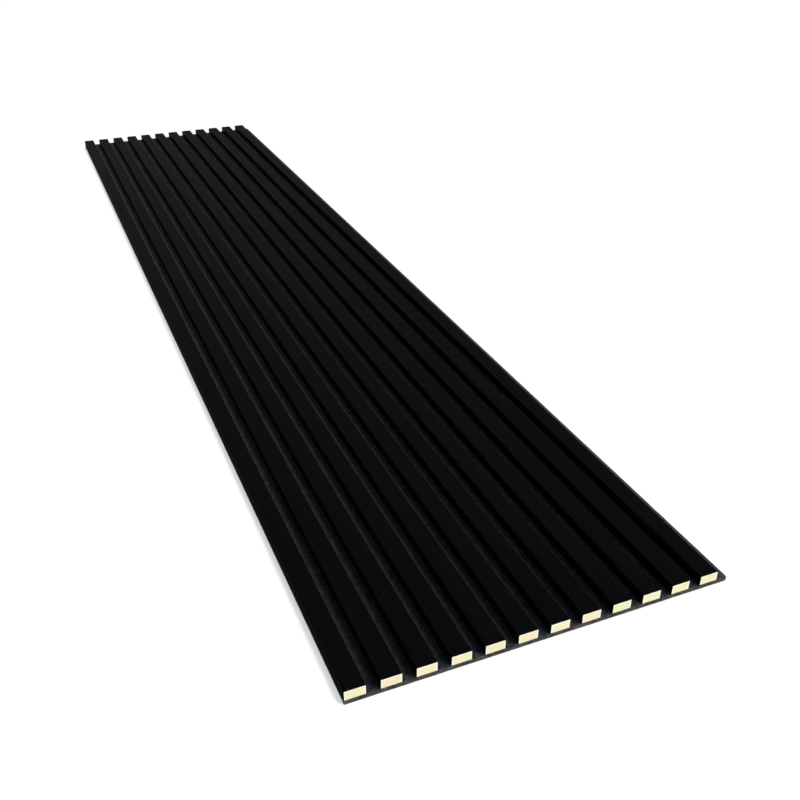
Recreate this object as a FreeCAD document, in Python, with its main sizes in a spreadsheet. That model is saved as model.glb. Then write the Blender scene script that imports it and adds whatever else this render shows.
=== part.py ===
# Acoustic slat wall panel: slats of raw board with a black foil skin, stapled to a felt backing.
# The panel lies on its back. The origin is the centre of the felt's back face, X runs across the
# slats, Y along them and Z out of their fronts. Every length is in millimetres.
import FreeCAD, Part
import Sketcher
import math
import os

# Driving sizes: alias, value and what it measures.
SIZES = (
    ("panel_length", 2750.0, "length of the felt and of every slat"),
    ("slat_count", 12, "slats side by side"),
    ("slat_width", 30.0, "width of a slat over its foil"),
    ("slat_height", 16.0, "height of a slat over its foil"),
    ("slat_gap", 20.0, "open groove between two slats"),
    ("left_margin", 0.5, "bare felt on the left of the first slat"),
    ("right_margin", 19.5, "bare felt on the right of the last slat"),
    ("felt_thick", 6.0, "thickness of the felt"),
    ("foil_thick", 0.3, "thickness of the foil"),
    ("arris_radius", 0.7, "radius of the core's two front edges, inside the foil"),
    ("staple_rows", 7, "staples along each slat"),
    ("staple_end", 60.0, "end of the panel to the middle of its nearest staples"),
    ("staple_crown", 12.8, "length of a staple's crown over both legs"),
    ("staple_leg", 14.0, "height of a staple from the back of its crown to its tips"),
    ("staple_point", 1.2, "length of the slanted cut on a leg's tip"),
    ("staple_sink", 0.35, "depth of a crown's back below the felt's back"),
    ("wire_wide", 0.95, "width of the staple wire, across the slat"),
    ("wire_thick", 0.65, "thickness of the staple wire"),
    ("wire_room", 0.05, "clearance round the wire in the felt and in the core"),
    ("tip_room", 0.5, "clearance past a leg's tip in the core"),
)

# Lengths that follow from the driving sizes, as expressions.
PITCH = "(sizes.slat_width + sizes.slat_gap)"
SLATS_SPAN = f"((sizes.slat_count - 1) * {PITCH})"
PANEL_WIDTH = f"({SLATS_SPAN} + sizes.slat_width + sizes.left_margin + sizes.right_margin)"
FIRST_SLAT = "(sizes.left_margin + sizes.slat_width / 2)"
ROWS_SPAN = "(sizes.panel_length - 2 * sizes.staple_end)"
CROWN_SEAT = "(sizes.staple_sink + sizes.wire_thick)"
LEG_IN_CORE = "(sizes.staple_sink + sizes.staple_leg - sizes.felt_thick)"
LEG_SPACE = "(sizes.staple_crown - 2 * sizes.wire_thick)"
SLOT_WIDE = "(sizes.wire_wide + 2 * sizes.wire_room)"
SLOT_THICK = "(sizes.wire_thick + 2 * sizes.wire_room)"
SEAT_LONG = "(sizes.staple_crown + 2 * sizes.wire_room)"

# A sketch's own origin and upright axis, as its constraints name them.
ORIGIN = (-1, 1)
UPRIGHT = (-2,)


def make_sheet(document):
    """Fill the spreadsheet with the driving sizes, one row each."""
    sheet = document.addObject("Spreadsheet::Sheet", "sizes")
    for row, (alias, value, meaning) in enumerate(SIZES, start=1):
        sheet.set(f"A{row}", meaning)
        sheet.set(f"B{row}", str(value))
        sheet.setAlias(f"B{row}", alias)
    document.recompute()
    return sheet


def make_body(document, name, place):
    """Start a body that stands where three expressions for X, Y and Z say."""
    body = document.addObject("PartDesign::Body", name)
    body.Label = name
    for axis, expression in zip("xyz", place):
        body.setExpression(f"Placement.Base.{axis}", expression)
    return body


def origin_item(body, role):
    """Find one of the body's own origin planes or axes."""
    return next(item for item in body.Origin.OriginFeatures if item.Role == role)


def make_sketch(body, name, plane):
    """Start a sketch on one of the body's origin planes."""
    sketch = body.newObject("Sketcher::SketchObject", name)
    sketch.AttachmentSupport = [(origin_item(body, plane), "")]
    sketch.MapMode = "FlatFace"
    return sketch


def constrain(sketch, kind, *where):
    """Add a constraint that has no size."""
    sketch.addConstraint(Sketcher.Constraint(kind, *where))


def measure(sketch, name, expression, kind, *where):
    """Add a named dimension and bind it to an expression."""
    value = sketch.evalExpression(expression)
    index = sketch.addConstraint(Sketcher.Constraint(kind, *where, value))
    sketch.renameConstraint(index, name)
    sketch.setExpression(f"Constraints.{name}", expression)


def draw_rectangle(sketch, name, wide, tall):
    """Draw a rectangle of two bound sizes and give its first line, the bottom one."""
    width = sketch.evalExpression(wide)
    height = sketch.evalExpression(tall)
    corners = [(0, 0), (width, 0), (width, height), (0, height)]
    bottom = sketch.GeometryCount
    right, top, left = bottom + 1, bottom + 2, bottom + 3
    for start, end in zip(corners, corners[1:] + corners[:1]):
        sketch.addGeometry(Part.LineSegment(FreeCAD.Vector(*start, 0), FreeCAD.Vector(*end, 0)))
    for side, following in ((bottom, right), (right, top), (top, left), (left, bottom)):
        constrain(sketch, "Coincident", side, 2, following, 1)
    for side in (bottom, top):
        constrain(sketch, "Horizontal", side)
    for side in (right, left):
        constrain(sketch, "Vertical", side)
    measure(sketch, f"{name}_wide", wide, "DistanceX", bottom, 1, bottom, 2)
    measure(sketch, f"{name}_tall", tall, "DistanceY", right, 1, right, 2)
    return bottom


def draw_leg_slots(sketch):
    """Draw the two slots of a staple's legs, far and near of the sketch's origin."""
    far = draw_rectangle(sketch, "far_leg", SLOT_WIDE, SLOT_THICK)
    far_corner = (far + 2, 1)
    measure(sketch, "far_leg_side", f"{SLOT_WIDE} / 2", "DistanceX", *ORIGIN, *far_corner)
    measure(sketch, "far_leg_end", f"{SEAT_LONG} / 2", "DistanceY", *ORIGIN, *far_corner)
    near = draw_rectangle(sketch, "near_leg", SLOT_WIDE, SLOT_THICK)
    near_corner = (near, 1)
    constrain(sketch, "Symmetric", *far_corner, *near_corner, *ORIGIN)


def draw_slat_section(sketch, inset):
    """Draw a slat's section, shrunk by an inset on its front and sides: square at the back and
    rounded along the two front edges. The section stands on the sketch's origin."""
    wide = f"(sizes.slat_width - 2 * {inset})"
    tall = f"(sizes.slat_height - {inset})"
    radius = f"(sizes.arris_radius + sizes.foil_thick - {inset})"
    half = sketch.evalExpression(wide) / 2
    height = sketch.evalExpression(tall)
    bend = sketch.evalExpression(radius)
    quarter = math.pi / 2

    def line(start, end):
        return sketch.addGeometry(Part.LineSegment(FreeCAD.Vector(*start, 0), FreeCAD.Vector(*end, 0)))

    def arc(middle, start_angle):
        circle = Part.Circle(FreeCAD.Vector(middle, height - bend, 0), FreeCAD.Vector(0, 0, 1), bend)
        return sketch.addGeometry(Part.ArcOfCircle(circle, start_angle, start_angle + quarter))

    back = line((-half, 0), (half, 0))
    right = line((half, 0), (half, height - bend))
    right_bend = arc(half - bend, 0)
    front = line((half - bend, height), (bend - half, height))
    left_bend = arc(bend - half, quarter)
    left = line((-half, height - bend), (-half, 0))
    constrain(sketch, "Coincident", back, 2, right, 1)
    constrain(sketch, "Coincident", left, 2, back, 1)
    rounded = (right, right_bend, front, left_bend, left)
    for side, following in zip(rounded, rounded[1:]):
        constrain(sketch, "Tangent", side, 2, following, 1)
    for side in (back, front):
        constrain(sketch, "Horizontal", side)
    for side in (right, left):
        constrain(sketch, "Vertical", side)
    constrain(sketch, "Symmetric", back, 1, back, 2, *ORIGIN)
    constrain(sketch, "Equal", right_bend, left_bend)
    measure(sketch, "section_wide", wide, "DistanceX", back, 1, back, 2)
    measure(sketch, "section_tall", tall, "DistanceY", *ORIGIN, front, 1)
    measure(sketch, "front_radius", radius, "Radius", right_bend)


def add_pad(body, sketch, name, length):
    """Raise a sketch by a bound length."""
    pad = body.newObject("PartDesign::Pad", name)
    pad.Profile = (sketch, [""])
    pad.setExpression("Length", length)
    return pad


def add_pocket(body, sketch, name, depth=None):
    """Cut a sketch into the body, by a bound depth or right through."""
    pocket = body.newObject("PartDesign::Pocket", name)
    pocket.Profile = (sketch, [""])
    if depth is None:
        pocket.Type = "ThroughAll"
    else:
        pocket.setExpression("Length", depth)
    return pocket


def repeat_along_slat(body, features):
    """Repeat features at every row of staples, starting at the first."""
    pattern = body.newObject("PartDesign::LinearPattern", f"{body.Name}_rows")
    pattern.Originals = features
    pattern.Direction = (origin_item(body, "Y_Axis"), [""])
    pattern.setExpression("Length", ROWS_SPAN)
    pattern.setExpression("Occurrences", "sizes.staple_rows")
    body.Tip = pattern
    return pattern


def repeat_across_slats(body, pattern):
    """Let a pattern along the slats also step from slat to slat."""
    pattern.Direction2 = (origin_item(body, "X_Axis"), [""])
    pattern.setExpression("Length2", SLATS_SPAN)
    pattern.setExpression("Occurrences2", "sizes.slat_count")


def make_felt(document):
    """The felt sheet, with a seat for every staple's crown and a hole for each of its legs."""
    body = make_body(document, "felt_backing", (f"-{PANEL_WIDTH} / 2", "-sizes.panel_length / 2", "0"))
    outline = make_sketch(body, "felt_outline", "XY_Plane")
    corner = draw_rectangle(outline, "felt", PANEL_WIDTH, "sizes.panel_length")
    constrain(outline, "Coincident", corner, 1, *ORIGIN)
    add_pad(body, outline, "felt_sheet", "sizes.felt_thick")

    seat_outline = make_sketch(body, "crown_outline", "XY_Plane")
    seat = draw_rectangle(seat_outline, "crown", SLOT_WIDE, SEAT_LONG)
    constrain(seat_outline, "Symmetric", seat, 1, seat + 2, 1, *ORIGIN)
    leg_outline = make_sketch(body, "leg_outline", "XY_Plane")
    draw_leg_slots(leg_outline)
    for sketch in (seat_outline, leg_outline):
        sketch.setExpression("AttachmentOffset.Base.x", FIRST_SLAT)
        sketch.setExpression("AttachmentOffset.Base.y", "sizes.staple_end")
    crown_seat = add_pocket(body, seat_outline, "crown_seat", CROWN_SEAT)
    leg_holes = add_pocket(body, leg_outline, "leg_holes")
    for pocket in (crown_seat, leg_holes):
        pocket.Reversed = True
    repeat_across_slats(body, repeat_along_slat(body, [crown_seat, leg_holes]))
    return body


def slat_place(number):
    """Where a slat's back stands: the middle of its near end, on the felt."""
    across = f"{FIRST_SLAT} + {number} * {PITCH} - {PANEL_WIDTH} / 2"
    return across, "-sizes.panel_length / 2", "sizes.felt_thick"


def make_core(document, number):
    """A slat's board core, with a blind slot for every staple leg that is driven into its back."""
    body = make_body(document, f"slat_core_{number + 1:02d}", slat_place(number))
    section = make_sketch(body, f"core_section_{number + 1:02d}", "XZ_Plane")
    draw_slat_section(section, "sizes.foil_thick")
    add_pad(body, section, f"core_bar_{number + 1:02d}", "sizes.panel_length").Reversed = True

    leg_outline = make_sketch(body, f"core_leg_outline_{number + 1:02d}", "XY_Plane")
    draw_leg_slots(leg_outline)
    leg_outline.setExpression("AttachmentOffset.Base.y", "sizes.staple_end")
    depth = f"{LEG_IN_CORE} + sizes.tip_room"
    leg_slots = add_pocket(body, leg_outline, f"core_leg_slots_{number + 1:02d}", depth)
    leg_slots.Reversed = True
    repeat_along_slat(body, [leg_slots])
    return body


def make_foil(document, number):
    """A slat's foil, a thin channel folded over the core's front and both sides."""
    body = make_body(document, f"slat_foil_{number + 1:02d}", slat_place(number))
    outside = make_sketch(body, f"foil_outside_{number + 1:02d}", "XZ_Plane")
    draw_slat_section(outside, "0")
    add_pad(body, outside, f"foil_bar_{number + 1:02d}", "sizes.panel_length").Reversed = True
    inside = make_sketch(body, f"foil_inside_{number + 1:02d}", "XZ_Plane")
    draw_slat_section(inside, "sizes.foil_thick")
    add_pocket(body, inside, f"foil_channel_{number + 1:02d}")
    return body


def draw_staple(sketch):
    """Draw a staple seen from its side: crown on the origin, two legs up, tips cut at a slant that
    leaves the points outside."""
    crown = sketch.evalExpression("sizes.staple_crown") / 2
    leg = sketch.evalExpression("sizes.staple_leg")
    point = sketch.evalExpression("sizes.staple_point")
    wire = sketch.evalExpression("sizes.wire_thick")
    half = [(crown, 0), (crown, leg), (crown - wire, leg - point), (crown - wire, wire)]
    corners = half + [(-x, y) for x, y in reversed(half)]
    for start, end in zip(corners, corners[1:] + corners[:1]):
        sketch.addGeometry(Part.LineSegment(FreeCAD.Vector(*start, 0), FreeCAD.Vector(*end, 0)))
    right_side, right_tip, right_inside, inner, _, left_tip, _, back = range(len(corners))
    for side in range(len(corners)):
        constrain(sketch, "Coincident", side, 2, (side + 1) % len(corners), 1)
    constrain(sketch, "Horizontal", back)
    constrain(sketch, "Vertical", right_side)
    constrain(sketch, "Vertical", right_inside)
    constrain(sketch, "Symmetric", back, 1, back, 2, *ORIGIN)
    constrain(sketch, "Symmetric", inner, 1, inner, 2, *UPRIGHT)
    constrain(sketch, "Symmetric", right_tip, 1, left_tip, 2, *UPRIGHT)
    constrain(sketch, "Symmetric", right_tip, 2, left_tip, 1, *UPRIGHT)
    measure(sketch, "crown_long", "sizes.staple_crown", "DistanceX", back, 1, back, 2)
    measure(sketch, "leg_space", LEG_SPACE, "DistanceX", inner, 2, inner, 1)
    measure(sketch, "crown_thick", "sizes.wire_thick", "DistanceY", *ORIGIN, inner, 1)
    measure(sketch, "leg_long", "sizes.staple_leg", "DistanceY", *ORIGIN, right_tip, 1)
    measure(sketch, "point_long", "sizes.staple_point", "DistanceY", right_tip, 2, right_tip, 1)


def make_staples(document):
    """All the staples, driven from the back: one bent wire repeated along and across the slats."""
    across = f"{FIRST_SLAT} - {PANEL_WIDTH} / 2"
    along = "sizes.staple_end - sizes.panel_length / 2"
    body = make_body(document, "backing_staples", (across, along, "sizes.staple_sink"))
    body.AllowCompound = True
    side_view = make_sketch(body, "staple_side", "YZ_Plane")
    draw_staple(side_view)
    wire = add_pad(body, side_view, "staple_wire", "sizes.wire_wide")
    wire.SideType = "Symmetric"
    repeat_across_slats(body, repeat_along_slat(body, [wire]))
    return body


def check_model(document, bodies):
    """Stop at a failed object, an unfinished sketch, a pocket that cut nothing or a bad solid."""
    for item in document.Objects:
        if "Invalid" in item.State or "Error" in item.State:
            raise RuntimeError(f"{item.Name} failed: {item.State}")
        if item.isDerivedFrom("Sketcher::SketchObject") and not item.FullyConstrained:
            raise RuntimeError(f"{item.Name} has a size left open")
        if item.isDerivedFrom("PartDesign::Pocket"):
            if item.Shape.Volume >= item.BaseFeature.Shape.Volume:
                raise RuntimeError(f"{item.Name} cut nothing")
    for body in bodies:
        if body.Shape.isNull() or not body.Shape.isValid() or not body.Shape.Solids:
            raise RuntimeError(f"{body.Label} is not a valid solid")


def write_parts(bodies):
    """Write one file for each sub-part, under its own name."""
    os.makedirs("parts", exist_ok=True)
    for body in bodies:
        body.Shape.exportStep(f"parts/{body.Label}.step")


def main():
    """Build the panel from the back to the front, check it and write it."""
    document = FreeCAD.newDocument("acoustic_slat_panel")
    sheet = make_sheet(document)
    bodies = [make_felt(document)]
    for number in range(int(sheet.slat_count)):
        bodies.append(make_core(document, number))
        bodies.append(make_foil(document, number))
    bodies.append(make_staples(document))
    document.recompute()
    check_model(document, bodies)
    write_parts(bodies)


main()
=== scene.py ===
"""Acoustic slat wall panel: felt, loose fibres, foil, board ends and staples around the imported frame."""

import math

import bpy
import numpy as np
from bpy.props import FloatProperty, FloatVectorProperty, IntProperty, PointerProperty
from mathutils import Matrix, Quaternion, Vector


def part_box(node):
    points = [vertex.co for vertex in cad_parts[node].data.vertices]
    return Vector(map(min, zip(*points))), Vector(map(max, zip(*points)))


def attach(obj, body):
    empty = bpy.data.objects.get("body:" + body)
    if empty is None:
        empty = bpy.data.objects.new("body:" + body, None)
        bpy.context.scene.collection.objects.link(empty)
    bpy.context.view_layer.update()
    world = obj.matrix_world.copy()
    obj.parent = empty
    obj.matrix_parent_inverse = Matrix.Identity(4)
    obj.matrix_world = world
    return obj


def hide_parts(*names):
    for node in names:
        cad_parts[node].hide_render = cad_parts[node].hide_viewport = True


bl_info = {
    "name": "Acoustic Slat Panel",
    "version": (1, 0, 0),
    "blender": (4, 5, 0),
    "location": "View3D > Sidebar > Slat Panel",
    "description": "Felt, foil, board and staples for an acoustic slat wall panel",
    "category": "Object",
}

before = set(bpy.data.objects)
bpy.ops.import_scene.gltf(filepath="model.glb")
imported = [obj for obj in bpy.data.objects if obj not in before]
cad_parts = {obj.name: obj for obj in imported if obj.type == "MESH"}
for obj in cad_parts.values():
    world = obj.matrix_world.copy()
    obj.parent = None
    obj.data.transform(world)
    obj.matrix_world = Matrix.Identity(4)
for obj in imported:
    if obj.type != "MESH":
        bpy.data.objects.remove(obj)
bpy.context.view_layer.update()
MM = 0.001

# A point within this distance of a face lies on it.
ON_FACE = 0.1 * MM
# A jump along the slats that is wider than this parts two rows of staples.
ROW_JUMP = 50 * MM
# Heights of the felt's mesh lines, as shares of its thickness.
FELT_LEVELS = np.array([0.0, 0.1, 0.3, 0.5, 0.7, 0.9, 1.0])
# A loose fibre: places of its rings and its tip, as shares of its length, its thickness at the
# rings, as shares of that at its root, the sides of a ring, and the share of half a turn that its
# sine of lift follows.
FIBRE_STATIONS = np.array([0.0, 0.35, 0.7, 1.0])
FIBRE_TAPER = np.array([1.0, 0.85, 0.6])
FIBRE_SIDES = 3
FIBRE_ARCH = 0.62
# Directions in which the pattern of tangled fibres is drawn out.
PATTERN_TURNS = 5
# Lengths of the felt's waves on its front, on its back and along its cut edges.
FRONT_WAVE, BACK_WAVE, EDGE_WAVE = 26 * MM, 40 * MM, 35 * MM

# Places that come from the frame.
FELT_LOW, FELT_HIGH = (np.array(corner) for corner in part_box("felt_backing"))
FOILS = sorted(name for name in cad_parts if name.startswith("slat_foil_"))
CORES = sorted(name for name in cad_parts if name.startswith("slat_core_"))
SLAT_LEFT = np.array([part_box(name)[0].x for name in FOILS])
SLAT_RIGHT = np.array([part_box(name)[1].x for name in FOILS])
SLAT_MIDDLE = (SLAT_LEFT + SLAT_RIGHT) / 2
SLAT_PITCH = float(np.diff(SLAT_MIDDLE).mean())
CORE_LOW, CORE_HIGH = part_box(CORES[0])
WIRE_LOW, WIRE_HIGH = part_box("backing_staples")


def read_staple_rows():
    """Middle of each row of staples and the length of a crown: the wire's points along Y fall into
    one run a row, and a wide jump parts two rows."""
    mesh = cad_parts["backing_staples"].data
    points = np.empty(len(mesh.vertices) * 3, np.float32)
    mesh.vertices.foreach_get("co", points)
    along = np.unique(points[1::3].round(5))
    runs = np.split(along, np.flatnonzero(np.diff(along) > ROW_JUMP) + 1)
    middles = np.array([(run[0] + run[-1]) / 2 for run in runs])
    return middles, float(runs[0][-1] - runs[0][0])


STAPLE_ROWS, CROWN_LENGTH = read_staple_rows()


class FeltSettings(bpy.types.PropertyGroup):
    """Sizes and colours of the felt sheet and of its loose fibres."""

    colour: FloatVectorProperty(
        name="Felt colour", description="Colour of the dark fibres", subtype="COLOR",
        default=(0.0060, 0.0070, 0.0071))
    fleck: FloatVectorProperty(
        name="Fleck colour", description="Colour of the lighter fibres", subtype="COLOR",
        default=(0.042, 0.045, 0.047))
    cut_colour: FloatVectorProperty(
        name="Cut colour", description="Colour of the palest fibre ends on the cut edges",
        subtype="COLOR", default=(0.1168, 0.1168, 0.1136))
    cut_dark: FloatVectorProperty(
        name="Dark cut colour", description="Colour of the darkest ones", subtype="COLOR",
        default=(0.0146, 0.0146, 0.0142))
    # Painted light: the front is made paler beside its two cut ends, for the extra light that reaches the
    # grooves at their open ends.
    end_light_width: FloatProperty(
        name="Rough width", description="How far the front is roughed up and paler beside its two cut "
        "ends", unit="LENGTH", default=14 * MM)
    end_light_share: FloatProperty(
        name="Rough share", description="Mean share of the cut colours there", default=0.20)
    nap: FloatProperty(
        name="Nap", description="Strength of the soft shine of the felt's nap", default=0.165)
    nap_tint: FloatVectorProperty(
        name="Nap tint", description="Colour of the nap's shine", subtype="COLOR",
        default=(0.85, 0.92, 1.0))
    index: FloatProperty(
        name="Index", description="Refractive index of the felt's front, low because the loose "
        "fibres scatter most of their gloss", default=1.075)
    step: FloatProperty(
        name="Step", description="Distance between two lines of the sheet's mesh along the slats",
        unit="LENGTH", default=16 * MM)
    cross_step: FloatProperty(
        name="Cross step", description="The same across the slats", unit="LENGTH", default=5.2 * MM)
    relief: FloatProperty(
        name="Relief", description="Height of the soft waves in the open grooves", unit="LENGTH",
        default=0.3 * MM)
    swell: FloatProperty(
        name="Swell", description="How far the free felt rises between two slats", unit="LENGTH",
        default=0.15 * MM)
    end_proud: FloatProperty(
        name="End proud", description="How far the soft cut ends stand past the sheet's size",
        unit="LENGTH", default=1.0 * MM)
    side_proud: FloatVectorProperty(
        name="Side proud", description="The same for the left and the right long edge, below zero "
        "where it lies inside", size=2, unit="LENGTH", default=(0.55 * MM, -0.3 * MM))
    wander: FloatProperty(
        name="Wander", description="How far the cut edge leaves a straight line", unit="LENGTH",
        default=0.2 * MM)
    worn: FloatProperty(
        name="Worn corner", description="How far the cut edge draws in at the front", unit="LENGTH",
        default=0.3 * MM)
    worn_back: FloatProperty(
        name="Worn back", description="Share of that at the back", default=0.3)
    corner: FloatProperty(
        name="Corner radius", description="Radius of the two corners beside the bare strip",
        unit="LENGTH", default=3.5 * MM)
    pit_depth: FloatProperty(
        name="Pit depth", description="How far a staple draws the back in", unit="LENGTH",
        default=0.8 * MM)
    pit_width: FloatProperty(
        name="Pit width", description="Reach of a staple's pit across the slat", unit="LENGTH",
        default=3.2 * MM)
    front_fibres: IntProperty(
        name="Front fibres", description="Loose fibres on the open felt", default=11000)
    edge_fibres: IntProperty(
        name="Edge fibres", description="Loose fibres on the cut edges", default=9000)
    fibre_length: FloatProperty(
        name="Fibre length", description="Mean length of a loose fibre", unit="LENGTH", default=4.5 * MM)
    fibre_width: FloatProperty(
        name="Fibre width", description="Thickness of a loose fibre at its root", unit="LENGTH",
        default=0.09 * MM)
    fibre_lift: FloatProperty(
        name="Fibre lift", description="How high a loose fibre stands", unit="LENGTH", default=0.7 * MM)
    seed: IntProperty(name="Seed", description="Start of the random draws", default=7)


class SlatSettings(bpy.types.PropertyGroup):
    """Colours and gloss of the slats."""

    foil: FloatVectorProperty(
        name="Foil colour", description="Colour of the foil", subtype="COLOR",
        default=(0.0023, 0.0027, 0.0030))
    foil_index: FloatProperty(
        name="Foil index", description="Refractive index of the foil's surface", default=1.040)
    foil_roughness: FloatProperty(
        name="Foil roughness", description="Mean roughness of the foil", default=0.5)
    board: FloatVectorProperty(
        name="Board colour", description="Colour of the raw board", subtype="COLOR",
        default=(0.89, 0.84, 0.465))
    skin: FloatVectorProperty(
        name="Skin colour", description="Colour of the board near its faces", subtype="COLOR",
        default=(1.0, 0.99, 0.92))
    skin_depth: FloatProperty(
        name="Skin depth", description="Depth at which the paler skin under the foil has faded out",
        unit="LENGTH", default=2.9 * MM)
    blush: FloatVectorProperty(
        name="Blush colour", description="Colour that some slats lean to", subtype="COLOR",
        default=(0.90, 0.74, 0.49))
    # A darker brown band on the board at its foot, next to the felt.
    foot_colour: FloatVectorProperty(
        name="Glue colour", description="Colour of the board where the glue has soaked in",
        subtype="COLOR", default=(0.20, 0.165, 0.09))
    foot_height: FloatProperty(
        name="Glue depth", description="How far the glue has soaked in from the felt",
        unit="LENGTH", default=0.9 * MM)
    tone_seed: IntProperty(
        name="Tone seed", description="Start of the random draw of the slats' tones", default=47230)


class StapleSettings(bpy.types.PropertyGroup):
    """Shape and colour of the staples."""

    zinc: FloatVectorProperty(
        name="Wire colour", description="Colour of the zinc on the wire", subtype="COLOR",
        default=(0.60, 0.61, 0.62))
    bend: FloatProperty(
        name="Bend", description="Outer radius of a staple's two shoulders", unit="LENGTH",
        default=1.1 * MM)
    thick: FloatProperty(
        name="Wire thickness", description="Thickness of the flat wire", unit="LENGTH",
        default=0.65 * MM)
    width: FloatProperty(
        name="Wire width", description="Width of the flat wire", unit="LENGTH", default=0.95 * MM)


class StageSettings(bpy.types.PropertyGroup):
    """Camera, lamp, world and floor."""

    camera_place: FloatVectorProperty(
        name="Camera", description="Place of the camera", subtype="TRANSLATION",
        default=(-0.547420, -2.149495, 0.930462))
    camera_aim: FloatVectorProperty(
        name="Aim", description="Point on the floor in the middle of the picture",
        subtype="TRANSLATION", default=(0.056326, -0.709831, 0.0))
    camera_roll: FloatProperty(
        name="Roll", description="Turn of the camera about its own axis", subtype="ANGLE",
        default=math.radians(-0.045))
    lens: FloatProperty(
        name="Lens", description="Focal length on a 36 mm wide sensor, in millimetres",
        default=41.748)
    lamp_from: FloatVectorProperty(
        name="Lamp direction", description="Direction towards the soft lamp", subtype="DIRECTION",
        default=(0.72, -0.38, 0.56))
    lamp_level: FloatProperty(
        name="Lamp level", description="Share of a colour that the lamp alone shows on a face "
        "turned to it", default=1.5)
    lamp_angle: FloatProperty(
        name="Lamp size", description="Angle that the lamp fills", subtype="ANGLE",
        default=math.radians(60))
    fill_level: FloatProperty(
        name="Fill level", description="Share of a colour that the sky alone shows", default=0.16)
    lamp_colour: FloatVectorProperty(
        name="Lamp colour", description="Colour of the lamp", subtype="COLOR",
        default=(1.0, 0.98, 0.945))
    fill_colour: FloatVectorProperty(
        name="Fill colour", description="Colour of the light that fills the shadows",
        subtype="COLOR", default=(0.80, 0.92, 1.0))
    mirror_colour: FloatVectorProperty(
        name="Mirror colour", description="Colour of the surround where it is seen in a reflection",
        subtype="COLOR", default=(0.88, 0.94, 1.0))
    floor_colour: FloatProperty(
        name="Floor colour", description="Grey value of the floor", default=0.85)
    floor_lift: FloatProperty(
        name="Floor lift", description="Whiteness added where the open floor is looked at",
        default=0.185)
    # The lifts and widths below paint light onto the floor beside the panel's shaded side, which sets how
    # wide and how pale its shadow shows.
    shade_lift: FloatProperty(
        name="Shade lift", description="The same at the panel's foot on its shaded side",
        default=0.55)
    clear_lift: FloatProperty(
        name="Clear lift", description="The same where the shadow ends", default=0.85)
    shade_width: FloatProperty(
        name="Shade width", description="Width of the dark part of the shadow", unit="LENGTH",
        default=3 * MM)
    clear_width: FloatProperty(
        name="Clear width", description="Distance from the panel where the shadow ends",
        unit="LENGTH", default=12 * MM)
    far_narrowing: FloatProperty(
        name="Far narrowing", description="How much narrower the shadow is at the panel's far end",
        default=1.65)
    fade_lift: FloatProperty(
        name="Fade lift", description="Whiteness that fades out past the shadow's end", default=0.6)
    fade_length: FloatProperty(
        name="Fade length", description="Distance over which it fades to about a third",
        unit="LENGTH", default=18 * MM)
    mirror_lift: FloatProperty(
        name="Mirror lift", description="Whiteness added where the floor is seen in a reflection",
        default=0.15)
    floor_size: FloatProperty(
        name="Floor size", description="Side of the floor", unit="LENGTH", default=60.0)


def make_object(name, points, faces, smooth_below=None):
    """Make a mesh object from points and lists of faces. Edges that turn by less than an angle are
    shaded smooth."""
    mesh = bpy.data.meshes.new(name)
    corners = [face for part in faces for face in part.tolist()]
    mesh.from_pydata(points.reshape(-1, 3).tolist(), [], corners)
    mesh.update()
    if smooth_below is not None:
        mesh.shade_smooth()
        mesh.set_sharp_from_angle(angle=smooth_below)
    piece = bpy.data.objects.new(name, mesh)
    bpy.context.scene.collection.objects.link(piece)
    return piece


def write_layer(piece, name, domain, values):
    """Keep a value for each point or face, for a material to read."""
    layer = piece.data.attributes.new(name, "FLOAT", domain)
    layer.data.foreach_set("value", values.astype(np.float32))


def finish_piece(piece, material, replaced=()):
    """Give a new piece its material, body, slot and the nodes that it stands for."""
    piece.data.materials.append(material)
    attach(piece, "root")
    if replaced:
        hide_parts(*replaced)


def dress_node(name, material):
    """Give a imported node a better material."""
    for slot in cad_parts[name].material_slots:
        slot.material = material


def rolling_waves(across, along, length, seed):
    """Soft wander between -1 and 1: the mean of sine waves of about one length in random
    directions, made stronger by the root of their number."""
    count = 14
    random = np.random.default_rng(seed)
    turns = random.uniform(0, 2 * np.pi, count)
    steps = 2 * np.pi / (length * random.uniform(0.6, 1.7, count))
    starts = random.uniform(0, 2 * np.pi, count)
    phase = np.multiply.outer(across, steps * np.cos(turns))
    phase += np.multiply.outer(along, steps * np.sin(turns))
    return np.clip(np.sin(phase + starts).mean(-1) * math.sqrt(count) / 2, -1, 1)


def slab_surface(across, along, up):
    """Closed surface of a slab: the outer points of the lattice across by along by up, joined by
    quads that face outwards. Each pair of opposite sides is a grid of the other two directions,
    taken in turn, so that their cross product points along the first."""
    shape = (len(across), len(along), len(up))
    lattice = np.stack(np.meshgrid(across, along, up, indexing="ij"), -1)
    outer = np.ones(shape, bool)
    outer[1:-1, 1:-1, 1:-1] = False
    index = np.full(shape, -1)
    index[outer] = np.arange(outer.sum())
    quads = []
    for side in range(3):
        layers = index.transpose(side, (side + 1) % 3, (side + 2) % 3)
        for end, order in ((0, slice(None, None, -1)), (-1, slice(None))):
            layer = layers[end]
            corners = (layer[:-1, :-1], layer[1:, :-1], layer[1:, 1:], layer[:-1, 1:])
            quads.append(np.stack([corner.ravel() for corner in corners], -1)[:, order])
    return lattice[outer], quads


def lines_with(places, low, high, step):
    """Sorted mesh lines from low to high: the given places, and even lines where the space between
    two of them is wider than a step."""
    places = np.unique(np.clip(np.concatenate([places, [low, high]]), low, high).round(6))
    filled = [np.linspace(a, b, max(1, math.ceil((b - a) / step)) + 1)[:-1]
              for a, b in zip(places, places[1:])]
    return np.concatenate(filled + [[high]])


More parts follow.
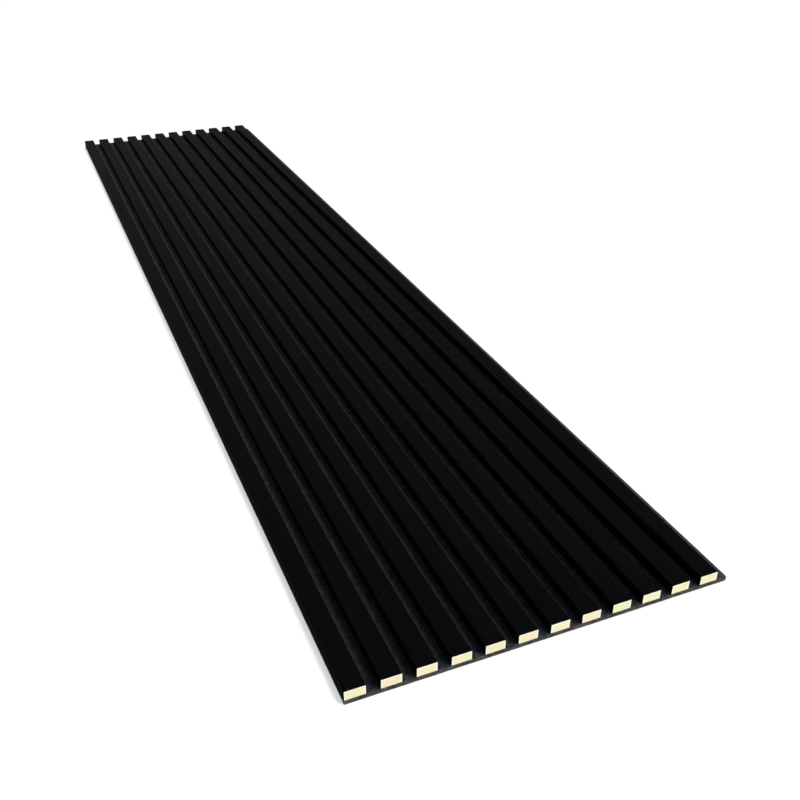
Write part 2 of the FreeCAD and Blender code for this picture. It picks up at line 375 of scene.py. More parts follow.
def felt_lines(settings):
    """Mesh lines of the felt across and along the slats. They stand at shares of the corner's
    radius, of a pit's width on both sides of each staple, and of half a crown, at a few distances
    past each crown and at every slat's sides, with even lines between them."""
    corner = np.array([0.25, 0.5, 0.75, 1.0]) * settings.corner
    pit = np.array([-2.0, -0.9, -0.35, 0.35, 0.9, 2.0]) * settings.pit_width
    across = np.concatenate([SLAT_LEFT, SLAT_RIGHT, np.add.outer(SLAT_MIDDLE, pit).ravel(),
                             FELT_HIGH[0] - corner])
    crown = np.array([0.0, 0.7, 1.0]) * CROWN_LENGTH / 2
    past_crown = CROWN_LENGTH / 2 + np.array([0.5, 1.5, 3.6, 7.7]) * MM
    row = np.concatenate([crown, past_crown])
    along = np.concatenate([np.add.outer(STAPLE_ROWS, np.concatenate([-row, row])).ravel(),
                            FELT_LOW[1] + corner, FELT_HIGH[1] - corner])
    return (lines_with(across, FELT_LOW[0], FELT_HIGH[0], settings.cross_step),
            lines_with(along, FELT_LOW[1], FELT_HIGH[1], settings.step))


def edge_proud(settings):
    """How far the low and the high edges across, along and up stand past the sheet's size."""
    return [np.array([side, settings.end_proud, 0]) for side in settings.side_proud]


def front_rise(points, settings):
    """How far the felt's front rises: by a half sine across each groove, of a height that rolls
    softly. It stays flat under the slats."""
    x, y, z = points.T
    starts = np.append(FELT_LOW[0], SLAT_RIGHT)
    ends = np.append(SLAT_LEFT, FELT_HIGH[0])
    groove = np.clip(np.searchsorted(starts, x, side="right") - 1, 0, len(starts) - 1)
    share = np.clip((x - starts[groove]) / (ends[groove] - starts[groove]), 0, 1)
    rolls = rolling_waves(x, y, FRONT_WAVE, settings.seed)
    rise = np.sin(np.pi * share) * (settings.swell + settings.relief * rolls)
    return np.where(z >= FELT_HIGH[2] - ON_FACE, rise, 0)


def back_rise(points, settings):
    """How far the felt's back is drawn in: by a bell of the distance to the nearest staple's crown,
    taken as a line along the slat, and by faint waves that stay above the back's own level."""
    x, y, z = points.T
    past_crown = np.abs(np.subtract.outer(y, STAPLE_ROWS)).min(1) - CROWN_LENGTH / 2
    off_crown = np.abs(np.subtract.outer(x, SLAT_MIDDLE)).min(1)
    reach = np.hypot(np.clip(past_crown, 0, None), off_crown) / settings.pit_width
    pits = settings.pit_depth * np.exp(-reach ** 2)
    level = 1.5 + rolling_waves(x, y, BACK_WAVE, settings.seed + 1)
    faint = settings.relief / 4
    return np.where(z <= FELT_LOW[2] + ON_FACE, pits + faint * level, 0)


def edge_push(points, settings):
    """How far each point moves across and along. The four cut edges stand proud, wander, and draw
    in at the front and the back by the eighth power of the distance from mid-height."""
    z = points[:, 2]
    level = (z - FELT_LOW[2]) / (FELT_HIGH[2] - FELT_LOW[2])
    worn = settings.worn * np.where(level > 0.5, 1, settings.worn_back) * (2 * level - 1) ** 8
    low_proud, high_proud = edge_proud(settings)
    push = np.zeros((len(points), 2))
    for axis in (0, 1):
        place, other = points[:, axis], points[:, 1 - axis]
        waves = rolling_waves(other, 3 * z, EDGE_WAVE, settings.seed + 2 + axis)
        out = settings.wander * waves - worn
        push[:, axis] -= np.where(place <= FELT_LOW[axis], low_proud[axis] + out, 0)
        push[:, axis] += np.where(place >= FELT_HIGH[axis], high_proud[axis] + out, 0)
    return push


def corner_pull(points, settings):
    """How far each point moves to round the two corners beside the bare strip. There a square of
    points is carried onto a quarter disc: each point keeps its direction from the square's inner
    corner, and its distance becomes the larger of its two coordinates."""
    inner = (FELT_HIGH + edge_proud(settings)[1])[:2] - settings.corner
    past = np.clip(np.stack([points[:, 0], np.abs(points[:, 1])], -1) - inner, 0, None)
    distance = np.maximum(np.hypot(*past.T), 1e-9)
    scale = np.where(past.min(1) > 0, past.max(1) / distance, 1)
    signs = np.stack([np.ones(len(points)), np.sign(points[:, 1])], -1)
    return past * (scale - 1)[:, None] * signs


def shape_felt(slab, settings):
    """Turn the points of the plain slab into felt: its front, its back, its cut edges and, after
    them, its corners."""
    points = slab.copy()
    points[:, 2] += front_rise(slab, settings) + back_rise(slab, settings)
    points[:, :2] += edge_push(slab, settings)
    points[:, :2] += corner_pull(points, settings)
    return points


def fibre_curves(roots, headings, normals, settings, random):
    """Points of tapered fibres, three three-sided rings and a tip each. At share t of its length a
    fibre stands at its root, plus its heading times the length times t, plus a sideways curl that
    grows with t squared, plus its lift times a sine of t along the surface's normal."""
    count = len(roots)
    sides = np.cross(normals, headings)
    length = settings.fibre_length * random.uniform(0.5, 1.6, (count, 1, 1))
    curl = random.normal(0, 0.45, (count, 1, 1)) * length
    lift = settings.fibre_lift * random.uniform(0.2, 1.5, (count, 1, 1))
    share = FIBRE_STATIONS[:, None]
    rise = np.sin(share * np.pi * FIBRE_ARCH) * lift - (1 - share) * settings.fibre_width
    heads, across, out = (vectors[:, None] for vectors in (headings, sides, normals))
    spine = roots[:, None] + heads * length * share + across * curl * share ** 2 + out * rise
    angles = 2 * np.pi * np.arange(FIBRE_SIDES)[:, None] / FIBRE_SIDES
    ring = across[:, :, None] * np.cos(angles) + out[:, :, None] * np.sin(angles)
    taper = FIBRE_TAPER[:, None, None] * settings.fibre_width / 2
    rings = spine[:, :-1, None] + ring * taper
    return np.concatenate([rings.reshape(count, -1, 3), spine[:, -1:]], 1)


def fibre_faces(count):
    """Faces of the fibres: bands of quads between the rings, a closed root and a pointed tip each."""
    turn = np.arange(FIBRE_SIDES)
    after = (turn + 1) % FIBRE_SIDES
    rings = np.arange(len(FIBRE_TAPER))[:, None, None] * FIBRE_SIDES
    band = np.stack([turn, after, after + FIBRE_SIDES, turn + FIBRE_SIDES], -1)
    bands = (rings[:-1] + band).reshape(-1, 4)
    tip = len(FIBRE_TAPER) * FIBRE_SIDES
    cone = np.stack([rings[-1, 0] + turn, rings[-1, 0] + after, np.full(FIBRE_SIDES, tip)], -1)
    root = turn[None, ::-1]
    first = (np.arange(count) * (tip + 1))[:, None, None]
    return [(first + bands).reshape(-1, 4), (first + np.concatenate([cone, root])).reshape(-1, 3)]


def place_front_fibres(settings, random):
    """Roots, headings and normals of fibres on the open felt, most of them along the grooves, one
    way or the other. None stands right beside a slat or a cut end."""
    count = settings.front_fibres
    side_room, end_room, spread = MM, 2 * MM, 0.7
    starts = SLAT_RIGHT + side_room
    ends = np.append(SLAT_LEFT[1:], FELT_HIGH[0]) - side_room
    groove = random.integers(0, len(starts), count)
    across = starts[groove] + random.random(count) * (ends - starts)[groove]
    along = random.uniform(FELT_LOW[1] + end_room, FELT_HIGH[1] - end_room, count)
    roots = np.stack([across, along, np.full(count, FELT_HIGH[2])], -1)
    turn = random.normal(0, spread, count) + np.pi * random.integers(0, 2, count)
    headings = np.stack([np.sin(turn), np.cos(turn), np.zeros(count)], -1)
    normals = np.tile([0.0, 0.0, 1.0], (count, 1))
    return roots, headings, normals


def place_edge_fibres(settings, random):
    """Roots, headings and normals of fibres on the two cut ends and the two long edges, spread by
    the length of each edge and four times as close on the ends. Most run along their edge, tilted
    a little up or down."""
    count = settings.edge_fibres
    back_room, front_room, spread, tilt = 1.2 * MM, 0.3 * MM, 0.35, 0.4
    width, length, _ = FELT_HIGH - FELT_LOW - 2 * settings.corner
    shares = np.array([width, width, length, length]) * [4, 4, 1, 1]
    side = random.choice(4, count, p=shares / shares.sum())
    on_end = side < 2
    high_side = side % 2 == 1
    free = random.random(count)
    low_proud, high_proud = edge_proud(settings)
    low = FELT_LOW - low_proud
    high = FELT_HIGH + high_proud
    start = FELT_LOW + settings.corner
    across = np.where(on_end, start[0] + free * width, np.where(high_side, high[0], low[0]))
    along = np.where(on_end, np.where(high_side, high[1], low[1]), start[1] + free * length)
    up = random.uniform(FELT_LOW[2] + back_room, FELT_HIGH[2] - front_room, count)
    roots = np.stack([across, along, up], -1)
    outward = np.where(high_side, 1.0, -1.0)
    none = np.zeros(count)
    normals = np.stack([np.where(on_end, 0, outward), np.where(on_end, outward, 0), none], -1)
    turn = random.normal(0, spread, count) + np.pi * random.integers(0, 2, count)
    run = np.stack([np.where(on_end, 1.0, 0.0), np.where(on_end, 0.0, 1.0), none], -1)
    headings = run * np.cos(turn)[:, None]
    headings[:, 2] = np.sin(turn) * tilt
    headings /= np.linalg.norm(headings, axis=1, keepdims=True)
    return roots, headings, normals


def staple_surface(settings):
    """One staple round the origin: an eight-sided flat section carried up one leg, round the
    shoulder, along the crown, round the other shoulder and up the other leg. Y runs along the
    crown, Z up the legs, and the crown's back is at Z = 0."""
    half = CROWN_LENGTH / 2
    middle = settings.bend - settings.thick / 2
    bend_steps = 5
    bend = np.linspace(0, np.pi / 2, bend_steps + 1)
    shoulder = np.stack([half - settings.bend + middle * np.sin(bend),
                         settings.bend - middle * np.cos(bend)], -1)
    tip = np.array([[half - settings.thick / 2, WIRE_HIGH.z - WIRE_LOW.z - settings.thick]])
    right = np.concatenate([shoulder, tip])
    right_slope = np.append(bend, np.pi / 2)
    path = np.concatenate([right[::-1] * [-1, 1], right])
    slope = np.concatenate([-right_slope[::-1], right_slope])
    top = np.array([[1, 0.5], [0.7, 1], [-0.7, 1], [-1, 0.5]])
    section = np.concatenate([top, -top]) * [settings.width / 2, settings.thick / 2]
    out = np.stack([-np.sin(slope), np.cos(slope)], -1)
    rings = path[:, None, :] + out[:, None, :] * section[None, :, 1:]
    across = np.broadcast_to(section[None, :, :1], rings.shape[:2] + (1,))
    points = np.concatenate([across, rings], -1)
    count, sides = points.shape[:2]
    ring = np.arange(count - 1)[:, None] * sides
    turn = np.arange(sides)
    after = (turn + 1) % sides
    quads = np.stack([ring + turn, ring + turn + sides, ring + after + sides, ring + after], -1)
    caps = np.stack([turn, turn[::-1] + (count - 1) * sides])
    return points.reshape(-1, 3), quads.reshape(-1, 4), caps


def feed(tree, node, inputs):
    """Feed a node's inputs: a socket is linked, anything else is the input's own value."""
    for name, value in inputs.items():
        if isinstance(value, bpy.types.NodeSocket):
            tree.links.new(value, node.inputs[name])
        else:
            node.inputs[name].default_value = value


def add_node(tree, kind, inputs=None, **settings):
    """Add a node, set it up and feed its inputs."""
    node = tree.nodes.new(kind)
    for name, value in settings.items():
        setattr(node, name, value)
    feed(tree, node, inputs or {})
    return node


def calculate(tree, operation, first, second=0.0):
    """A sum, product or other operation on two values or sockets."""
    return add_node(tree, "ShaderNodeMath", {0: first, 1: second}, operation=operation).outputs[0]


def stretch_range(tree, value, low=0.0, high=1.0, to_low=0.0, to_high=1.0, smooth=False):
    """Carry a range of a value onto another range, in a straight line or with soft ends."""
    inputs = {"Value": value, "From Min": low, "From Max": high, "To Min": to_low, "To Max": to_high}
    shape = "SMOOTHSTEP" if smooth else "LINEAR"
    return add_node(tree, "ShaderNodeMapRange", inputs, interpolation_type=shape).outputs["Result"]


def noise(tree, place, size, detail=1.0, roughness=0.5):
    """Noise in lumps of about a size."""
    density = calculate(tree, "DIVIDE", 1.0, size)
    return add_node(tree, "ShaderNodeTexNoise", {
        "Vector": place, "Scale": density, "Detail": detail, "Roughness": roughness}).outputs


def scaled(colour, share):
    """A colour made darker or lighter by a share."""
    return tuple(share * value for value in colour)


def mix_colours(tree, share, first, second):
    """Mix two colours, given as sockets or as three numbers."""
    node = add_node(tree, "ShaderNodeMix", data_type="RGBA")
    sockets = {socket.identifier: socket for socket in node.inputs}
    for name, value in (("Factor_Float", share), ("A_Color", first), ("B_Color", second)):
        if isinstance(value, bpy.types.NodeSocket):
            tree.links.new(value, sockets[name])
        else:
            sockets[name].default_value = value if name == "Factor_Float" else (*value, 1.0)
    return next(socket for socket in node.outputs if socket.identifier == "Result_Color")


def start_group(name, inputs, outputs):
    """Start a shader group with float outputs, a vector input and float inputs with defaults."""
    tree = bpy.data.node_groups.new(name, "ShaderNodeTree")
    tree.interface.new_socket("Vector", in_out="INPUT", socket_type="NodeSocketVector")
    for label, value in inputs.items():
        socket = tree.interface.new_socket(label, in_out="INPUT", socket_type="NodeSocketFloat")
        socket.default_value = value
    for label in outputs:
        tree.interface.new_socket(label, in_out="OUTPUT", socket_type="NodeSocketFloat")
    return tree, tree.nodes.new("NodeGroupInput").outputs


def end_group(tree, **outputs):
    """Feed the group's outputs."""
    add_node(tree, "NodeGroupOutput", outputs)
    return tree


def tangled_fibres_group():
    """Fibres that cross and bend in every direction of the sheet, as ridges of noise drawn out along
    each of a few turns, the loose clumps that they lie in, and small knots here and there. A bend is
    11 fibre sizes long and up to 7 wide to each side, and a ridge ends where the noise leaves its
    middle by more than the ridge's width."""
    bend_length, bend_range, ridge_width = 11.0, 14.0, 0.06
    tree, given = start_group(
        "Tangled Fibres", {"Fibre Size": 0.4 * MM, "Clump Size": 6 * MM, "Knot Size": 1.5 * MM},
        ["Fibres", "Clumps", "Knots"])
    bend_size = calculate(tree, "MULTIPLY", given["Fibre Size"], bend_length)
    bend = noise(tree, given["Vector"], bend_size)["Color"]
    centred = add_node(tree, "ShaderNodeVectorMath", {0: bend, 1: (0.5, 0.5, 0.5)},
                       operation="SUBTRACT")
    amount = calculate(tree, "MULTIPLY", given["Fibre Size"], bend_range)
    pushed = add_node(tree, "ShaderNodeVectorMath", {0: centred.outputs[0], "Scale": amount},
                      operation="SCALE")
    bent = add_node(tree, "ShaderNodeVectorMath", {0: given["Vector"], 1: pushed.outputs[0]},
                    operation="ADD")
    fibres = None
    for number in range(PATTERN_TURNS):
        turn = math.pi * (number + 0.3) / PATTERN_TURNS
        placed = add_node(tree, "ShaderNodeMapping", {
            "Vector": bent.outputs[0], "Location": (number * 0.37, number * 0.71, number * 0.13),
            "Rotation": (0.12, 0.08, turn), "Scale": (1.0, 9.0, 1.2)}, vector_type="TEXTURE")
        level = noise(tree, placed.outputs[0], given["Fibre Size"])["Fac"]
        ridge = calculate(tree, "ABSOLUTE", calculate(tree, "SUBTRACT", level, 0.5))
        line = stretch_range(tree, ridge, ridge_width, 0.0)
        fibres = line if fibres is None else calculate(tree, "MAXIMUM", fibres, line)
    clumps = noise(tree, given["Vector"], given["Clump Size"], detail=4.0, roughness=0.68)["Fac"]
    spots = noise(tree, given["Vector"], given["Knot Size"])["Fac"]
    return end_group(tree, Fibres=fibres, Clumps=clumps, Knots=stretch_range(tree, spots, 0.6, 0.72))


def fine_grain_group():
    """A fine even grain, and slow streaks that run along the slats."""
    tree, given = start_group("Fine Grain", {"Grain Size": 0.5 * MM, "Streak Width": 4 * MM},
                              ["Grain", "Streaks"])
    grain = noise(tree, given["Vector"], given["Grain Size"], detail=2.0, roughness=0.6)["Fac"]
    drawn = add_node(tree, "ShaderNodeMapping", {"Vector": given["Vector"], "Scale": (1.0, 0.02, 1.0)})
    streaks = noise(tree, drawn.outputs[0], given["Streak Width"], detail=2.0)["Fac"]
    return end_group(tree, Grain=grain, Streaks=streaks)


SHARED_GROUPS = {"Tangled Fibres": tangled_fibres_group, "Fine Grain": fine_grain_group}


def start_material(name):
    """Start a material and give its tree, its shader and the object's coordinates."""
    material = bpy.data.materials.new(name)
    material.use_nodes = True
    tree = material.node_tree
    shader = next(node for node in tree.nodes if node.type == "BSDF_PRINCIPLED")
    place = add_node(tree, "ShaderNodeTexCoord").outputs["Object"]
    return material, tree, shader, place


def use_group(tree, name, inputs):
    """Place a shared shader group in a material. It is built the first time."""
    group = bpy.data.node_groups.get(name) or SHARED_GROUPS[name]()
    return add_node(tree, "ShaderNodeGroup", inputs, node_tree=group).outputs


def add_bump(tree, shader, height, distance):
    """Lead a height into the shader's normal."""
    bump = add_node(tree, "ShaderNodeBump", {"Height": height, "Distance": distance})
    feed(tree, shader, {"Normal": bump.outputs["Normal"]})


def felt_material(settings):
    """Needled felt: dark fibres flecked with lighter ones, in soft clumps with pale knots. It turns
    to the paler fibre ends on its cut edges. Beside its two cut ends it turns to them by a share that
    fades out and is larger on the lighter fibres: painted light, for the extra light that the open
    ends of the grooves let in. It has the soft shine of its nap and a broad faint gloss that shows
    only at low angles."""
    material, tree, shader, place = start_material("grey_felt")
    pattern = use_group(tree, "Tangled Fibres", {
        "Vector": place, "Fibre Size": 0.5 * MM, "Clump Size": 8 * MM, "Knot Size": 2.4 * MM})
    clump = stretch_range(tree, pattern["Clumps"], 0.39, 0.61)
    lightness = stretch_range(tree, pattern["Fibres"], to_low=0.2, to_high=1.05)
    knots = calculate(tree, "MULTIPLY", pattern["Knots"], 1.5)
    share = calculate(tree, "ADD", calculate(tree, "MULTIPLY", lightness, clump), knots)
    front = mix_colours(tree, share, settings.colour, settings.fleck)
    edge = mix_colours(tree, share, settings.cut_dark, settings.cut_colour)
    along = add_node(tree, "ShaderNodeSeparateXYZ", {"Vector": place}).outputs["Y"]
    # Painted light beside the two cut ends: the front turns to the cut colours there, most on the lighter
    # fibres.
    from_end = calculate(tree, "SUBTRACT", float(FELT_HIGH[1]), calculate(tree, "ABSOLUTE", along))
    end_light_fade = stretch_range(tree, from_end, settings.end_light_width, 0.0, to_high=settings.end_light_share,
                          smooth=True)
    on_fibres = stretch_range(tree, share, to_low=0.4, to_high=2.0)
    painted_end_light = calculate(tree, "MULTIPLY", end_light_fade, on_fibres)
    cut = add_node(tree, "ShaderNodeAttribute", attribute_name="cut").outputs["Fac"]
    colour = mix_colours(tree, calculate(tree, "MAXIMUM", cut, painted_end_light), front, edge)
    feed(tree, shader, {
        "Base Color": colour, "Roughness": 0.6, "IOR": settings.index, "Sheen Weight": settings.nap,
        "Sheen Tint": (*settings.nap_tint, 1.0), "Sheen Roughness": 0.5})
    height = calculate(tree, "ADD", pattern["Fibres"], calculate(tree, "MULTIPLY", clump, 1.5))
    add_bump(tree, shader, height, 0.25 * MM)
    return material


def fibre_material(settings):
    """A loose fibre: plain, matt, darker or lighter from one to the next."""
    material, tree, shader, _ = start_material("loose_fibre")
    shade = add_node(tree, "ShaderNodeAttribute", attribute_name="shade").outputs["Fac"]
    colour = mix_colours(tree, shade, settings.colour, settings.fleck)
    feed(tree, shader, {"Base Color": colour, "Roughness": 0.8, "Specular IOR Level": 0.2})
    return material


def foil_material(settings):
    """Black foil: satin, with a fine pressed grain and faint streaks along the slat. Its roughness
    follows the mean of both, by a tenth to each side."""
    material, tree, shader, place = start_material("satin_black_foil")
    pattern = use_group(tree, "Fine Grain", {
        "Vector": place, "Grain Size": 0.45 * MM, "Streak Width": 5 * MM})
    streak = stretch_range(tree, pattern["Streaks"], 0.3, 0.7)
    colour = mix_colours(tree, streak, scaled(settings.foil, 0.8), scaled(settings.foil, 1.25))
    both = calculate(tree, "ADD", pattern["Streaks"], pattern["Grain"])
    middle = settings.foil_roughness
    roughness = stretch_range(tree, both, 0.7, 1.3, middle - 0.1, middle + 0.1)
    feed(tree, shader, {"Base Color": colour, "Roughness": roughness, "IOR": settings.foil_index})
    add_bump(tree, shader, pattern["Grain"], 0.07 * MM)
    return material


def board_material(settings):
    """Sawn raw board: pale fibres, a paler skin that fades out below its faces at an uneven depth, a
    darker brown band at its foot and faint saw marks. Each slat leans to the blush by the square of its
    own random draw, so that only a few lean far."""
    material, tree, shader, place = start_material("raw_board")
    pattern = use_group(tree, "Tangled Fibres", {
        "Vector": place, "Fibre Size": 0.35 * MM, "Clump Size": 2.2 * MM})
    parts = add_node(tree, "ShaderNodeSeparateXYZ", {"Vector": place}).outputs
    from_first = calculate(tree, "SUBTRACT", parts["X"], float(SLAT_MIDDLE[0]))
    number = calculate(tree, "ROUND", calculate(tree, "DIVIDE", from_first, SLAT_PITCH))
    draw = calculate(tree, "ADD", number, settings.tone_seed)
    lot = add_node(tree, "ShaderNodeTexWhiteNoise", {"W": draw}, noise_dimensions="1D").outputs["Value"]
    lean = calculate(tree, "MULTIPLY", lot, lot)
    tone = mix_colours(tree, lean, settings.board, settings.blush)

    own_middle = calculate(tree, "MULTIPLY", number, SLAT_PITCH)
    off_middle = calculate(tree, "ABSOLUTE", calculate(tree, "SUBTRACT", from_first, own_middle))
    from_side = calculate(tree, "SUBTRACT", (CORE_HIGH.x - CORE_LOW.x) / 2, off_middle)
    from_top = calculate(tree, "SUBTRACT", CORE_HIGH.z, parts["Z"])
    from_face = calculate(tree, "MINIMUM", from_side, from_top)
    wander = 0.3 * settings.skin_depth
    uneven = stretch_range(tree, pattern["Clumps"], 0.3, 0.7, -wander, wander)
    skin = stretch_range(tree, calculate(tree, "ADD", from_face, uneven), settings.skin_depth, 0.0,
                         smooth=True)
    tone = mix_colours(tree, skin, tone, settings.skin)

    speck = stretch_range(tree, pattern["Clumps"], 0.35, 0.7, to_high=0.35)
    specked = mix_colours(tree, speck, tone, scaled(settings.board, 0.72))
    fleck = calculate(tree, "MULTIPLY", pattern["Fibres"], 0.25)
    flecked = mix_colours(tree, fleck, specked, settings.skin)
    foot = CORE_LOW.z
    # The board turns to a darker brown over its lowest part, next to the felt.
    near_foot = stretch_range(tree, parts["Z"], foot + settings.foot_height, foot + settings.foot_height / 4)
    colour = mix_colours(tree, near_foot, flecked, settings.foot_colour)
    feed(tree, shader, {"Base Color": colour, "Roughness": 0.85, "Specular IOR Level": 0.2})
    marks = add_node(tree, "ShaderNodeTexWave", {
        "Vector": place, "Scale": 140.0, "Distortion": 6.0, "Detail": 3.0, "Detail Roughness": 0.6},
        bands_direction="X")
    low_marks = calculate(tree, "MULTIPLY", marks.outputs["Fac"], 0.5)
    add_bump(tree, shader, calculate(tree, "ADD", pattern["Fibres"], low_marks), 0.05 * MM)
    return material


def staple_material(settings):
    """Drawn wire with a dull zinc finish."""
    material, tree, shader, place = start_material("zinc_wire")
    pattern = use_group(tree, "Fine Grain", {
        "Vector": place, "Grain Size": 0.2 * MM, "Streak Width": 0.15 * MM})
    colour = mix_colours(tree, pattern["Grain"], scaled(settings.zinc, 0.75), settings.zinc)
    roughness = stretch_range(tree, pattern["Streaks"], 0.3, 0.7, 0.32, 0.5)
    feed(tree, shader, {"Base Color": colour, "Roughness": roughness, "Metallic": 1.0})
    add_bump(tree, shader, pattern["Streaks"], 0.01 * MM)
    return material


def seen_ways(tree):
    """Two values that are 1 where something is seen, and 0 where it lights other faces: one for the
    camera, past clear bodies too, and one for reflections."""
    path = add_node(tree, "ShaderNodeLightPath").outputs
    straight = calculate(tree, "MAXIMUM", path["Is Camera Ray"], path["Is Transmission Ray"])
    return straight, path["Is Glossy Ray"]


def floor_whiteness(tree, settings):
    """Painted whiteness that the floor gets where it is looked at, which sets how wide and how pale
    the panel's shadow shows. The open floor has just enough to be white. On the shaded side, the
    left, it is the smaller of two curves of the distance from the felt. One rises softly from the
    panel's foot to the shadow's end, over a shorter way towards the far end, so that the shadow is
    painted narrower there. The other falls by an exponential, as the lamp's own light comes back."""
    place = add_node(tree, "ShaderNodeTexCoord").outputs["Object"]
    parts = add_node(tree, "ShaderNodeSeparateXYZ", {"Vector": place}).outputs
    away = calculate(tree, "SUBTRACT", float(FELT_LOW[0]), parts["X"])
    narrowing = stretch_range(tree, parts["Y"], float(FELT_LOW[1]), float(FELT_HIGH[1]), 1.0,
                              settings.far_narrowing)
    rise = stretch_range(tree, calculate(tree, "MULTIPLY", away, narrowing), settings.shade_width,
                         settings.clear_width, settings.shade_lift, settings.clear_lift, smooth=True)
    fade = calculate(tree, "DIVIDE", calculate(tree, "SUBTRACT", settings.clear_width, away),
                     settings.fade_length)
    faded = calculate(tree, "MULTIPLY", calculate(tree, "EXPONENT", fade), settings.fade_lift)
    beside = calculate(tree, "MINIMUM", rise, calculate(tree, "ADD", faded, settings.floor_lift))
    return stretch_range(tree, away, -MM, 0.0, settings.floor_lift, beside)


def make_floor(settings):
    """A wide pale floor that keeps the panel's shadow and is white where it is looked at."""
    half = settings.floor_size / 2
    corners = np.array([[-half, -half, 0], [half, -half, 0], [half, half, 0], [-half, half, 0]])
    floor = make_object("floor", corners, [np.array([[0, 1, 2, 3]])])
    material = bpy.data.materials.new("pale_floor")
    material.use_nodes = True
    tree = material.node_tree
    tree.nodes.clear()
    matt = add_node(tree, "ShaderNodeBsdfDiffuse", {"Color": (settings.floor_colour,) * 3 + (1.0,)})
    straight, mirrored = seen_ways(tree)
    whiteness = floor_whiteness(tree, settings)
    looked_at = calculate(tree, "MULTIPLY", straight, whiteness)
    reflected = calculate(tree, "MULTIPLY", mirrored, settings.mirror_lift)
    glow = add_node(tree, "ShaderNodeEmission", {
        "Strength": calculate(tree, "ADD", looked_at, reflected)})
    both = add_node(tree, "ShaderNodeAddShader", {0: matt.outputs[0], 1: glow.outputs[0]})
    add_node(tree, "ShaderNodeOutputMaterial", {"Surface": both.outputs[0]})
    floor.data.materials.append(material)


def make_world(settings):
    """A white surround where it is looked at, a cooler white in reflections, and a dimmer one that
    fills the shadows."""
    world = bpy.data.worlds.new("soft_surround")
    world.use_nodes = True
    tree = world.node_tree
    tree.nodes.clear()
    fill = add_node(tree, "ShaderNodeBackground", {
        "Color": (*settings.fill_colour, 1.0), "Strength": settings.fill_level})
    straight, mirrored = seen_ways(tree)
    colour = mix_colours(tree, mirrored, (1.0, 1.0, 1.0), settings.mirror_colour)
    white = add_node(tree, "ShaderNodeBackground", {"Color": colour, "Strength": 1.0})
    seen = calculate(tree, "MAXIMUM", straight, mirrored)
    choice = add_node(tree, "ShaderNodeMixShader", {0: seen, 1: fill.outputs[0], 2: white.outputs[0]})
    add_node(tree, "ShaderNodeOutputWorld", {"Surface": choice.outputs[0]})
    bpy.context.scene.world = world


def make_lamp(settings):
    """One wide soft lamp. A level of 1 shows a colour as written on a face turned to it."""
    lamp = bpy.data.lights.new("soft_lamp", "SUN")
    lamp.energy = math.pi * settings.lamp_level
    lamp.angle = settings.lamp_angle
    lamp.color = settings.lamp_colour
    holder = bpy.data.objects.new("soft_lamp", lamp)
    holder.rotation_mode = "QUATERNION"
    holder.rotation_quaternion = Vector(settings.lamp_from).to_track_quat("Z", "Y")
    bpy.context.scene.collection.objects.link(holder)


def make_camera(settings):
    """The camera, aimed at a point on the floor and rolled about its own axis."""
    data = bpy.data.cameras.new("camera")
    data.sensor_width = 36.0
    data.lens = settings.lens
    data.clip_start = 0.01
    data.clip_end = 2 * settings.floor_size
    camera = bpy.data.objects.new("camera", data)
    aim = Vector(settings.camera_aim) - Vector(settings.camera_place)
    camera.location = settings.camera_place
    camera.rotation_mode = "QUATERNION"
    roll = Quaternion((0.0, 0.0, 1.0), settings.camera_roll)
    camera.rotation_quaternion = aim.to_track_quat("-Z", "Y") @ roll
    bpy.context.scene.collection.objects.link(camera)
    bpy.context.scene.camera = camera


class SLATPANEL_OT_felt_sheet(bpy.types.Operator):
    """Lay the felt sheet, with its soft front, drawn-in back and cut edges"""

    bl_idname = "slatpanel.felt_sheet"
    bl_label = "Felt sheet"

    def execute(self, context):
        settings = context.scene.slatpanel_felt
        across, along = felt_lines(settings)
        up = FELT_LOW[2] + (FELT_HIGH[2] - FELT_LOW[2]) * FELT_LEVELS
        slab, quads = slab_surface(across, along, up)
        points = shape_felt(slab, settings)
        sheet = make_object("felt_sheet", points, quads, smooth_below=math.radians(40))
        # The slab's first four sides are the cut edges, and the last two its back and front.
        cut = np.repeat([1.0, 1.0, 1.0, 1.0, 0.0, 0.0], [len(part) for part in quads])
        write_layer(sheet, "cut", "FACE", cut)
        finish_piece(sheet, felt_material(settings), ["felt_backing"])
        return {"FINISHED"}


class SLATPANEL_OT_felt_fibres(bpy.types.Operator):
    """Raise the loose fibres on the open felt and along its cut edges"""

    bl_idname = "slatpanel.felt_fibres"
    bl_label = "Loose fibres"

    def execute(self, context):
        settings = context.scene.slatpanel_felt
        random = np.random.default_rng(settings.seed)
        material = fibre_material(settings)
        for name, place in (("front_fibres", place_front_fibres), ("edge_fibres", place_edge_fibres)):
            points = fibre_curves(*place(settings, random), settings, random)
            points[..., 2] = np.clip(points[..., 2], FELT_LOW[2] + settings.fibre_width, None)
            fibres = make_object(name, points, fibre_faces(len(points)))
            shade = np.repeat(random.random(len(points)) ** 2, points.shape[1])
            write_layer(fibres, "shade", "POINT", shade)
            finish_piece(fibres, material)
        return {"FINISHED"}


class SLATPANEL_OT_slat_foils(bpy.types.Operator):
    """Give every slat's foil its satin black"""

    bl_idname = "slatpanel.slat_foils"
    bl_label = "Slat foils"

    def execute(self, context):
        material = foil_material(context.scene.slatpanel_slats)
        for name in FOILS:
            dress_node(name, material)
        return {"FINISHED"}


class SLATPANEL_OT_slat_cores(bpy.types.Operator):
    """Give every slat's core its sawn raw board"""

    bl_idname = "slatpanel.slat_cores"
    bl_label = "Slat cores"

    def execute(self, context):
        material = board_material(context.scene.slatpanel_slats)
        for name in CORES:
            dress_node(name, material)
        return {"FINISHED"}


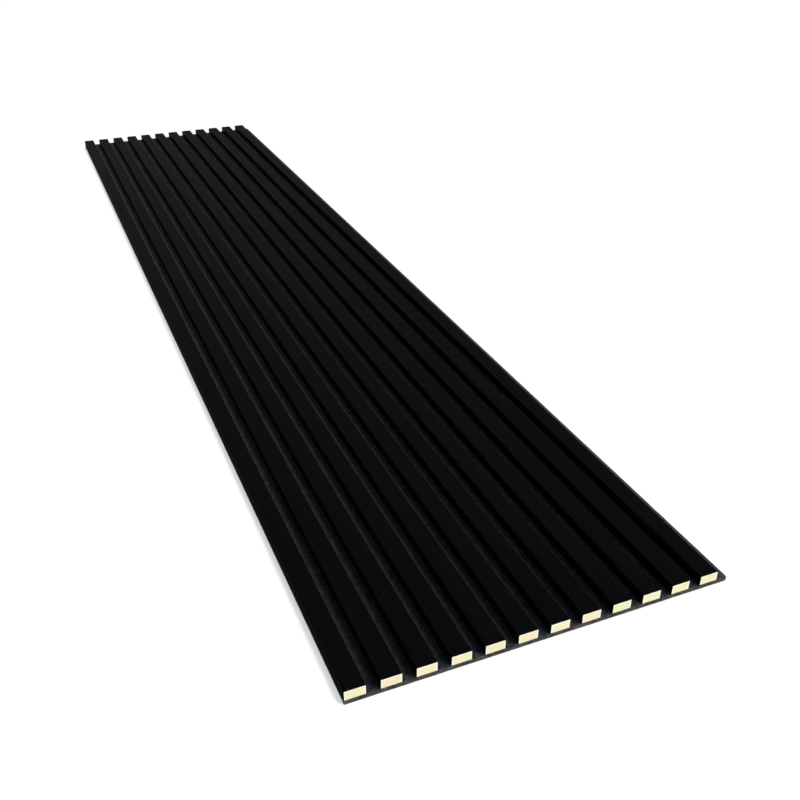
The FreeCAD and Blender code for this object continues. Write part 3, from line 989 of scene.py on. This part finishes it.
class SLATPANEL_OT_staples(bpy.types.Operator):
    """Drive the bent wire staples into the back"""

    bl_idname = "slatpanel.staples"
    bl_label = "Staples"

    def execute(self, context):
        settings = context.scene.slatpanel_staples
        shape, quads, caps = staple_surface(settings)
        across, along = (grid.ravel() for grid in np.meshgrid(SLAT_MIDDLE, STAPLE_ROWS))
        places = np.stack([across, along, np.full(across.size, WIRE_LOW.z)], -1)
        points = places[:, None, :] + shape[None]
        first = (np.arange(len(places)) * len(shape))[:, None, None]
        faces = [(first + part[None]).reshape(-1, part.shape[1]) for part in (quads, caps)]
        wires = make_object("staple_wires", points, faces, smooth_below=math.radians(50))
        finish_piece(wires, staple_material(settings), ["backing_staples"])
        return {"FINISHED"}


class SLATPANEL_OT_stage(bpy.types.Operator):
    """Set up the floor, the surround, the lamp and the camera"""

    bl_idname = "slatpanel.stage"
    bl_label = "Stage"

    def execute(self, context):
        settings = context.scene.slatpanel_stage
        make_floor(settings)
        make_world(settings)
        make_lamp(settings)
        make_camera(settings)
        context.scene.view_settings.view_transform = "Standard"
        return {"FINISHED"}


class SLATPANEL_PT_sidebar(bpy.types.Panel):
    """The panel's pieces and their sizes and colours"""

    bl_idname = "SLATPANEL_PT_sidebar"
    bl_label = "Slat Panel"
    bl_space_type = "VIEW_3D"
    bl_region_type = "UI"
    bl_category = "Slat Panel"

    def draw(self, context):
        for group in SETTINGS:
            settings = getattr(context.scene, group)
            box = self.layout.box()
            for name in settings.bl_rna.properties.keys():
                if name not in ("rna_type", "name"):
                    box.prop(settings, name)
        for operator in OPERATORS:
            self.layout.operator(operator.bl_idname)


SETTINGS = {
    "slatpanel_felt": FeltSettings,
    "slatpanel_slats": SlatSettings,
    "slatpanel_staples": StapleSettings,
    "slatpanel_stage": StageSettings,
}
OPERATORS = (
    SLATPANEL_OT_stage,
    SLATPANEL_OT_felt_sheet,
    SLATPANEL_OT_felt_fibres,
    SLATPANEL_OT_slat_foils,
    SLATPANEL_OT_slat_cores,
    SLATPANEL_OT_staples,
)


def register():
    """Register the settings, the operators and the sidebar panel."""
    for group, settings in SETTINGS.items():
        bpy.utils.register_class(settings)
        setattr(bpy.types.Scene, group, PointerProperty(type=settings))
    for item in (*OPERATORS, SLATPANEL_PT_sidebar):
        bpy.utils.register_class(item)


def unregister():
    """Take back what register did."""
    for item in (SLATPANEL_PT_sidebar, *reversed(OPERATORS)):
        bpy.utils.unregister_class(item)
    for group, settings in SETTINGS.items():
        delattr(bpy.types.Scene, group)
        bpy.utils.unregister_class(settings)


def main():
    """Dress the whole panel."""
    register()
    for operator in OPERATORS:
        area, name = operator.bl_idname.split(".")
        getattr(getattr(bpy.ops, area), name)()


if __name__ == "__main__":
    main()
